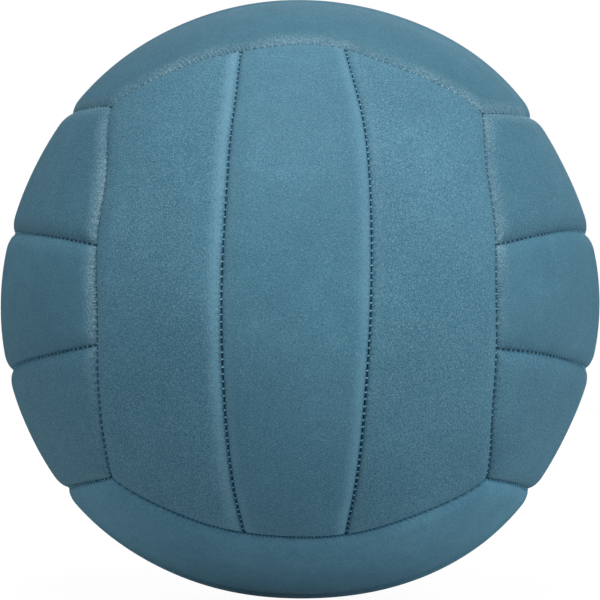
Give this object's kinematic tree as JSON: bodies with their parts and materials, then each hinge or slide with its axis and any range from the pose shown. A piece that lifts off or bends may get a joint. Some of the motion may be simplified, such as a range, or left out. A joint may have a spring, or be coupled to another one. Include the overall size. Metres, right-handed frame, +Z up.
{
  "type": "volleyball",
  "caption": "Soft-touch beach volleyball: padded, stitched panels in quarter-turned groups of strips over a bladder, with a self-sealing needle valve at the back.",
  "frame": {"origin": "centre of the ball", "axes": "+Z up through the middle of the top group, +Y away from the viewer through the valve, +X to the right"},
  "size_m": [0.213, 0.2129, 0.213],
  "materials": {
    "cover_skin": "matt, fine grained, soft-touch synthetic leather in dull teal-blue",
    "pad_foam": "closed-cell foam, matt",
    "lining_cloth": "plain woven cotton and polyester cloth",
    "seam_thread": "waxed polyester thread",
    "bladder_rubber": "smooth butyl rubber, slightly dusty",
    "valve_rubber": "moulded rubber, satin",
    "core_rubber": "soft moulded rubber, satin",
    "patch_cloth": "rubberised cloth"
  },
  "bodies": {
    "root": {"cover_front_left": "cover_skin", "cover_front_middle": "cover_skin", "cover_front_right": "cover_skin", "cover_back_left": "cover_skin", "cover_back_middle": "cover_skin", "cover_back_right": "cover_skin", "cover_left_upper": "cover_skin", "cover_left_middle": "cover_skin", "cover_left_lower": "cover_skin", "cover_right_upper": "cover_skin", "cover_right_middle": "cover_skin", "cover_right_lower": "cover_skin", "cover_top_front": "cover_skin", "cover_top_middle": "cover_skin", "cover_top_back": "cover_skin", "cover_bottom_front": "cover_skin", "cover_bottom_middle": "cover_skin", "cover_bottom_back": "cover_skin", "pad_front_left": "pad_foam", "pad_front_middle": "pad_foam", "pad_front_right": "pad_foam", "pad_back_left": "pad_foam", "pad_back_middle": "pad_foam", "pad_back_right": "pad_foam", "pad_left_upper": "pad_foam", "pad_left_middle": "pad_foam", "pad_left_lower": "pad_foam", "pad_right_upper": "pad_foam", "pad_right_middle": "pad_foam", "pad_right_lower": "pad_foam", "pad_top_front": "pad_foam", "pad_top_middle": "pad_foam", "pad_top_back": "pad_foam", "pad_bottom_front": "pad_foam", "pad_bottom_middle": "pad_foam", "pad_bottom_back": "pad_foam", "lining_front_left": "lining_cloth", "lining_front_middle": "lining_cloth", "lining_front_right": "lining_cloth", "lining_back_left": "lining_cloth", "lining_back_middle": "lining_cloth", "lining_back_right": "lining_cloth", "lining_left_upper": "lining_cloth", "lining_left_middle": "lining_cloth", "lining_left_lower": "lining_cloth", "lining_right_upper": "lining_cloth", "lining_right_middle": "lining_cloth", "lining_right_lower": "lining_cloth", "lining_top_front": "lining_cloth", "lining_top_middle": "lining_cloth", "lining_top_back": "lining_cloth", "lining_bottom_front": "lining_cloth", "lining_bottom_middle": "lining_cloth", "lining_bottom_back": "lining_cloth", "edge_seam_thread": "seam_thread", "strip_seam_thread": "seam_thread", "bladder": "bladder_rubber", "valve_housing": "valve_rubber", "valve_core": "core_rubber", "valve_patch": "patch_cloth"}
  },
  "joints": []
}
